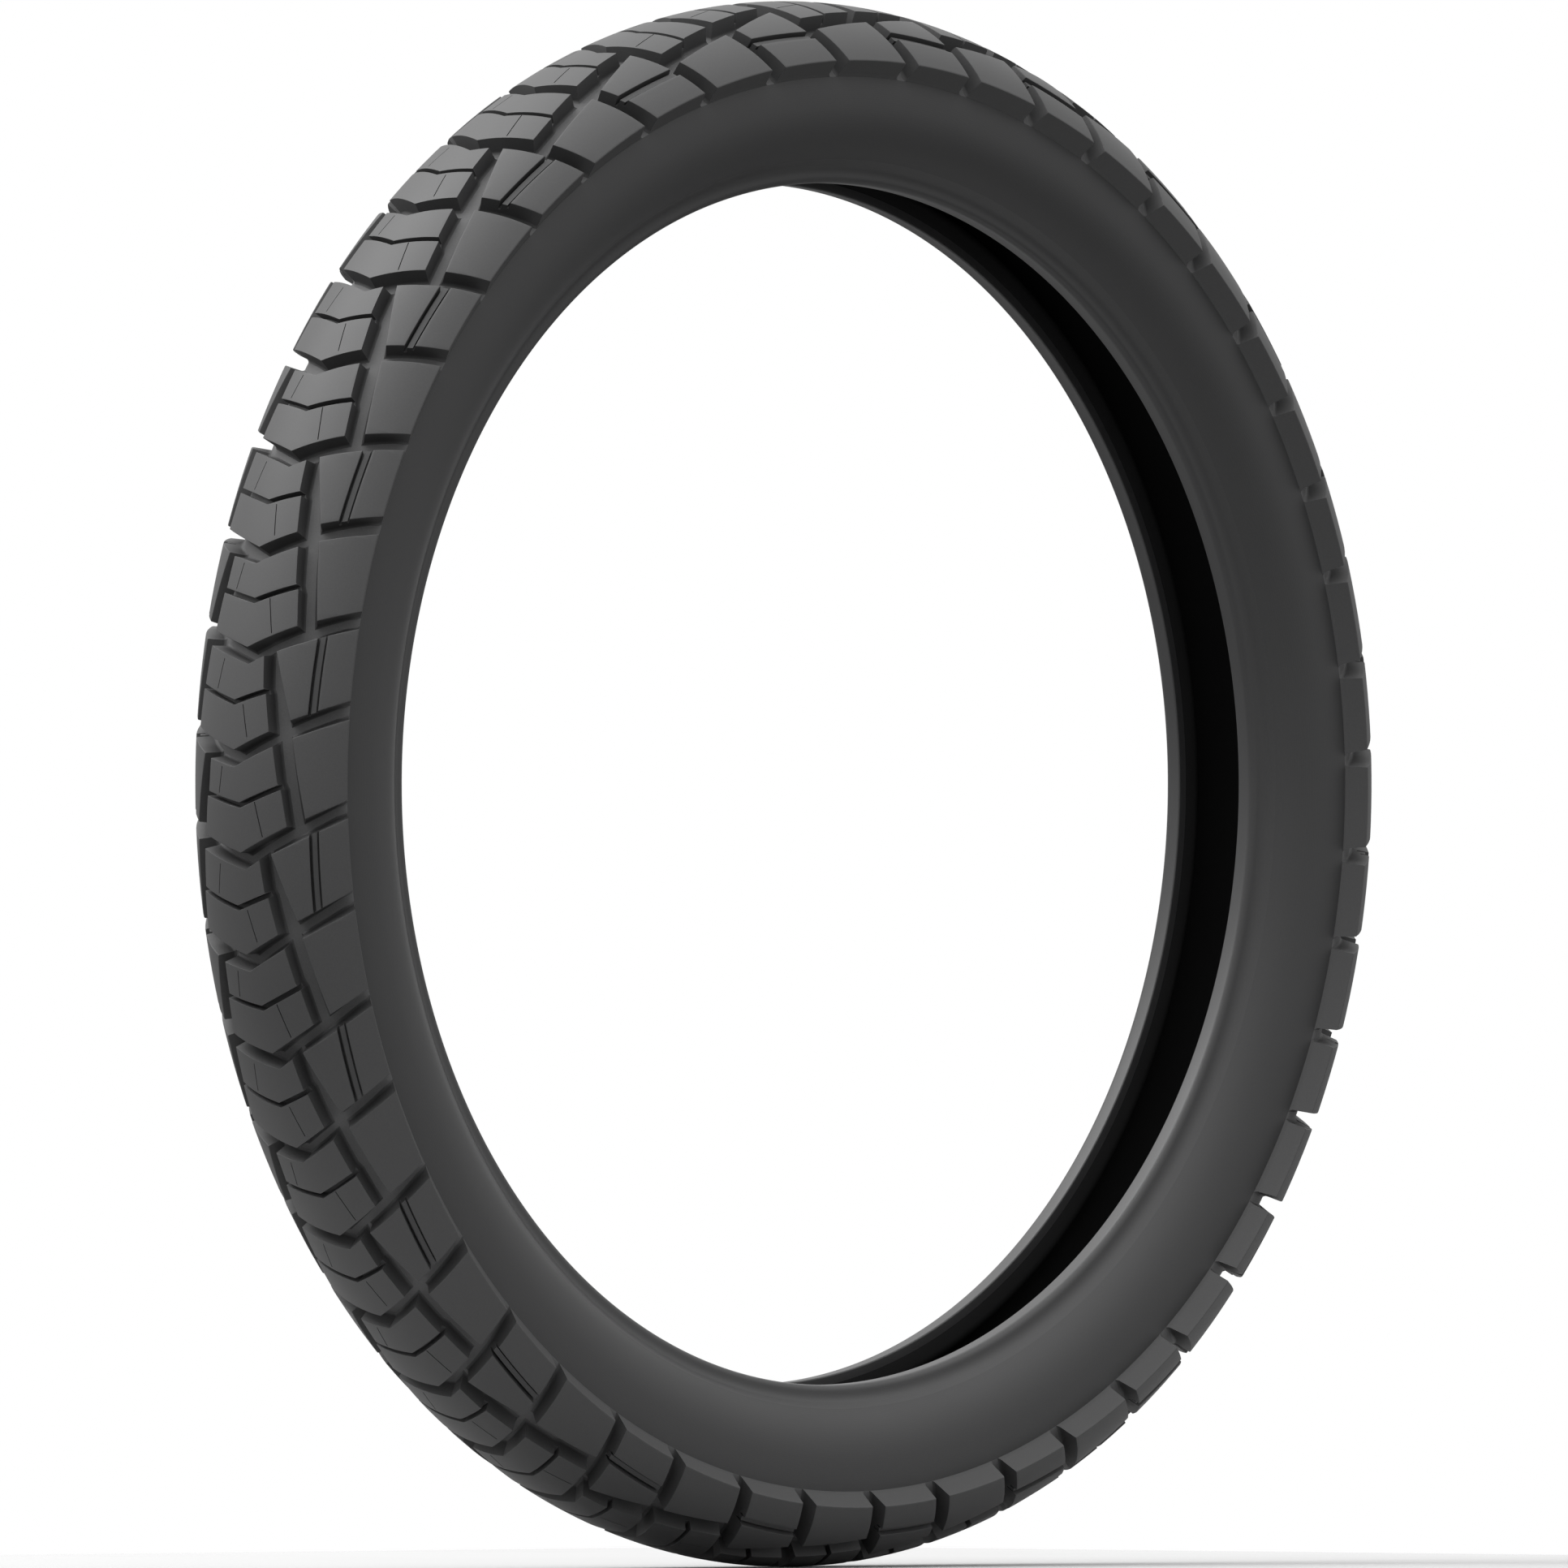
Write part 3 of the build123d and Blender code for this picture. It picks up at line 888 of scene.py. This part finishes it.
@dataclass(frozen=True)
class TreadPattern:
    """The blocks of one period, and their copies all the way round."""

    tread: Tread
    mould: BlockMould
    paints: Paints
    smooth_angle: float = 32.0

    def build(self) -> None:
        """Builds and dresses the centre blocks and both rows of shoulder blocks."""
        self.row("centre_tread_blocks", self.centre_shapes(), "centre_blocks")
        for side in Side:
            name = f"shoulder_tread_blocks_{side.word}"
            self.row(name, self.shoulder_shapes(side), f"shoulder_blocks_{side.word}")

    def row(self, name: str, shapes: list[BlockShape], node: str) -> None:
        """Builds one period's blocks, copies them round the tire and dresses them.

        Args:
            name: The finished piece's name.
            shapes: The kinds of block in one period.
            node: The frame's node that they stand for.
        """
        blocks = [shape.build(self.tread, self.mould) for shape in shapes]
        only(blocks[0])
        for block in blocks:
            block.select_set(True)
        bpy.ops.object.join()
        row = bpy.context.active_object
        row.name = row.data.name = name
        bpy.ops.object.empty_add(rotation=(0, -radians(self.tread.pitch), 0))
        step = bpy.context.active_object
        only(row)
        copies = row.modifiers.new("copies", "ARRAY")
        copies.count = self.tread.periods
        copies.use_relative_offset = False
        copies.use_object_offset = True
        copies.offset_object = step
        bpy.ops.object.modifier_apply(modifier=copies.name)
        bpy.data.objects.remove(step)
        bpy.ops.object.shade_smooth_by_angle(angle=radians(self.smooth_angle))
        even = row.modifiers.new("even", "WEIGHTED_NORMAL")
        even.keep_sharp = True
        bpy.ops.object.modifier_apply(modifier=even.name)
        self.paints.dress(row, TREAD_RUBBER, node)

    def centre_shapes(self) -> list[BlockShape]:
        """The block that leans over to the right side, and the one that leans to the left side."""
        right_slits = [[(13.4, 0.3), (16.9, 2.9)], [(-5.6, -2.3), (-7.6, -0.35)]]
        left_slits = [[(5.8, 0.7), (9.0, 3.1)], [(-8.8, -2.7), (-11.8, -0.5)]]
        return [
            self._centre_shape(1, 0.0, (2.2, 5.2, 5.0), right_slits),
            self._centre_shape(-1, self.tread.side_shift, (6.6, 0.5, 1.8), left_slits),
        ]

    def _centre_shape(
        self, sign: int, shift: float, bends: tuple[float, float, float], slits: list[list[Point]],
    ) -> BlockShape:
        """One chevron block of the centre.

        Args:
            sign: 1 for the block whose long arm lies on the right side, -1 for the other.
            shift: Degrees on from the period's start.
            bends: Where the top edge, the groove and the bottom edge bend, across the tread.
            slits: The two ends of each slit.

        Returns:
            The block's shape.
        """
        top, middle, bottom = bends
        outline = [
            (28.6, 2.2), (26.3, -0.5), (24.6, -1.05), (22.1, -3.75), (sign * top, -2.25),
            (-14.6, -2.9), (-15.9, -0.55), (-17.4, -0.1), (-20.0, 2.65), (sign * bottom, 4.0),
        ]
        return BlockShape(
            name="centre_block_right" if sign > 0 else "centre_block_left",
            angle=self.tread.first_angle + shift,
            outline=flipped(outline, sign),
            grooves=[Groove([(sign * 29.0, -0.95), (middle, 0.55), (sign * -21.0, -0.5)])],
            slits=slits,
        )

    def shoulder_shapes(self, side: Side) -> list[BlockShape]:
        """The plain and the split shoulder block of one side.

        Args:
            side: The side of the tire.

        Returns:
            The two shapes.
        """
        sign = -side.value
        angle = self.tread.first_angle + (self.tread.side_shift if side is Side.LEFT else 0.0)
        edge = self.tread.edge_across
        plain = [(31.0, -4.4), (edge, -6.04), (edge, 0.32), (37.0, 1.65)]
        split = [(20.5, 4.2), (edge, 1.72), (edge, 7.47), (29.8, 9.3)]
        # The sunk strip, then the slot along each of its sides: shift across, width and depth.
        strip_and_slots = ((0.0, 3.5, 1.6), (-1.6, 1.2, 5.0), (1.7, 0.8, 3.5))
        grooves = [
            Groove(flipped([(40.9 + shift, 1.5), (39.5 + shift, 9.6)], sign), width, depth)
            for shift, width, depth in strip_and_slots
        ]
        return [
            BlockShape(f"plain_{side.word}", angle, flipped(plain, sign)),
            BlockShape(f"split_{side.word}", angle, flipped(split, sign), grooves),
        ]


# ---------------------------------------------------------------------------------------------
# The casing


@dataclass(frozen=True)
class Skins:
    """The tire's smooth surfaces, each a thin ring that stands for one layer."""

    casing: Casing
    paints: Paints
    steps: int = 384
    floor_thickness: float = 2.4 * MM
    wall_thickness: float = 1.4 * MM
    foot_thickness: float = 0.8 * MM
    liner_thickness: float = 0.8 * MM

    def build(self) -> None:
        """Builds and dresses the groove floor, both sidewalls, both bead feet and the liner."""
        floor, wall, foot = self.casing.floor_line(), self.casing.wall_line(), self.casing.foot_line()
        # The groove floor gets the lighter copy of the tread rubber, which is painted light in the grooves.
        self.ring("tread_floor", floor, self.floor_thickness, FLOOR_RUBBER_PAINTED_LIGHT, "tread_base")
        for side in Side:
            for name, line, thickness, finish, node in (
                ("sidewall_skin", wall, self.wall_thickness, SIDEWALL_RUBBER, "sidewall"),
                ("bead_foot_skin", foot, self.foot_thickness, BEAD_RUBBER, "rim_cushion"),
            ):
                turned = line if side is Side.LEFT else mirrored(line)
                inwards = thickness * side.value
                self.ring(f"{name}_{side.word}", turned, inwards, finish, f"{node}_{side.word}")
        half = self.casing.liner_line()
        liner = half + mirrored(half)[-2::-1]
        self.ring("liner_skin", liner, self.liner_thickness, LINER_RUBBER, "inner_liner")

    def ring(self, name: str, line: list[Point], thickness: float, finish: Finish, node: str) -> None:
        """Builds one skin and dresses it.

        Args:
            name: Its name.
            line: The line of its section that shows.
            thickness: How far it goes in, to the line's left, negative to the right.
            finish: Its finish.
            node: The frame's node that it stands for.
        """
        self.paints.dress(spun_ring(name, shell(line, thickness), self.steps), finish, node)


@dataclass(frozen=True)
class Layers:
    """The cord plies, the breakers and the bead parts under the skins, which keep the frame's own shapes."""

    paints: Paints

    def build(self) -> None:
        """Gives every hidden layer its finish."""
        for node, finish in (
            ("body_ply_outer", PLY_CORD),
            ("body_ply_inner", PLY_CORD_CROSSED),
            ("breaker_outer", BREAKER_CORD),
            ("breaker_inner", BREAKER_CORD_CROSSED),
        ):
            self.paints.repaint(node, finish)
        for side in Side:
            for node, finish in (
                ("breaker_cushion", GUM_RUBBER),
                ("bead_wrap", GUM_RUBBER),
                ("bead_wires", BEAD_STEEL),
                ("bead_filler", FILLER_RUBBER),
                ("chafer", CHAFER_CLOTH),
            ):
                self.paints.repaint(f"{node}_{side.word}", finish)


# ---------------------------------------------------------------------------------------------
# The studio


@dataclass(frozen=True)
class Studio:
    """The floor, the light and the camera."""

    ground: float = -0.3478
    floor_size: float = 1.2
    floor_grey: float = 0.38
    floor_fleck: float = 0.01
    floor_roughness: float = 0.9
    fleck_scale: float = 6.0
    fleck_detail: float = 2.0
    sky_low: float = 0.08
    sky_high: float = 2.25
    key_from: tuple[float, float, float] = (-0.46, 0.32, 0.83)
    key_distance: float = 2.5
    key_size: float = 3.0
    key_watts: float = 92.0
    azimuth: float = -45.1
    distance: float = 30.95
    sideways: float = -1.5 * MM
    lens: float = 1600.0
    sensor: float = 36.0
    clip_start: float = 0.1

    def build(self) -> None:
        """Builds all of the studio."""
        self.add_floor()
        self.add_light()
        self.add_camera()
        log.info("studio: floor, sky, lamp and camera")

    def add_floor(self) -> None:
        """Adds the pale floor that the tire stands on."""
        bpy.ops.object.select_all(action="DESELECT")
        bpy.ops.mesh.primitive_plane_add(size=self.floor_size, location=(0, 0, self.ground))
        floor = bpy.context.active_object
        floor.name = "studio_floor"
        tree = MaterialTree("studio_floor")
        place = tree.node("ShaderNodeTexCoord", {}, {}).outputs["Object"]
        noise_inputs = {"Vector": place, "Scale": self.fleck_scale, "Detail": self.fleck_detail}
        cloud = tree.value("ShaderNodeTexNoise", {}, noise_inputs)
        greys = (self.floor_grey - self.floor_fleck, self.floor_grey + self.floor_fleck)
        pale, paler = ((grey, grey, grey, 1.0) for grey in greys)
        tree.feed(tree.shader.inputs["Base Color"], tree.blend_colours(cloud, pale, paler))
        tree.feed(tree.shader.inputs["Roughness"], self.floor_roughness)
        floor.data.materials.append(tree.material)

    def add_light(self) -> None:
        """Adds the white surroundings and one large soft lamp."""
        world = bpy.data.worlds.new("studio_sky")
        tree = Tree(world)
        way = tree.node("ShaderNodeTexCoord", {}, {}).outputs["Generated"]
        height = tree.value("ShaderNodeSeparateXYZ", {}, {"Vector": way}, "Z").between(-1.0, 1.0)
        glow = self.sky_low + height * height * (self.sky_high - self.sky_low)
        seen = tree.value("ShaderNodeLightPath", {}, {}, "Is Camera Ray")
        sky_inputs = {"Color": (1.0, 1.0, 1.0, 1.0), "Strength": glow + seen * (1.0 - glow)}
        sky = tree.node("ShaderNodeBackground", {}, sky_inputs)
        tree.node("ShaderNodeOutputWorld", {}, {"Surface": sky.outputs[0]})
        bpy.context.scene.world = world
        bpy.context.scene.view_settings.view_transform = "Standard"
        towards = Vector(self.key_from).normalized()
        bpy.ops.object.light_add(type="AREA", location=towards * self.key_distance)
        key = bpy.context.active_object
        key.name = "studio_key"
        key.data.shape = "DISK"
        key.data.size = self.key_size
        key.data.energy = self.key_watts
        key.rotation_euler = towards.to_track_quat("Z", "Y").to_euler()

    def add_camera(self) -> None:
        """Adds the camera, level with the spin axis."""
        turn = radians(self.azimuth)
        back = Vector((sin(turn), -cos(turn), 0.0))
        right = Vector((cos(turn), sin(turn), 0.0))
        bpy.ops.object.camera_add(location=back * self.distance + right * self.sideways)
        camera = bpy.context.active_object
        camera.name = "studio_camera"
        camera.rotation_euler = back.to_track_quat("Z", "Y").to_euler()
        camera.data.lens = self.lens
        camera.data.sensor_width = self.sensor
        camera.data.clip_start = self.clip_start
        camera.data.clip_end = 2 * self.distance
        bpy.context.scene.camera = camera


def main() -> None:
    """Builds the tread, the casing and the studio in order."""
    logging.basicConfig(level=logging.INFO, format="%(message)s")
    casing = Casing()
    paints = Paints()
    TreadPattern(Tread(casing), BlockMould(), paints).build()
    Skins(casing, paints).build()
    Layers(paints).build()
    Studio().build()


if __name__ == "__main__":
    main()
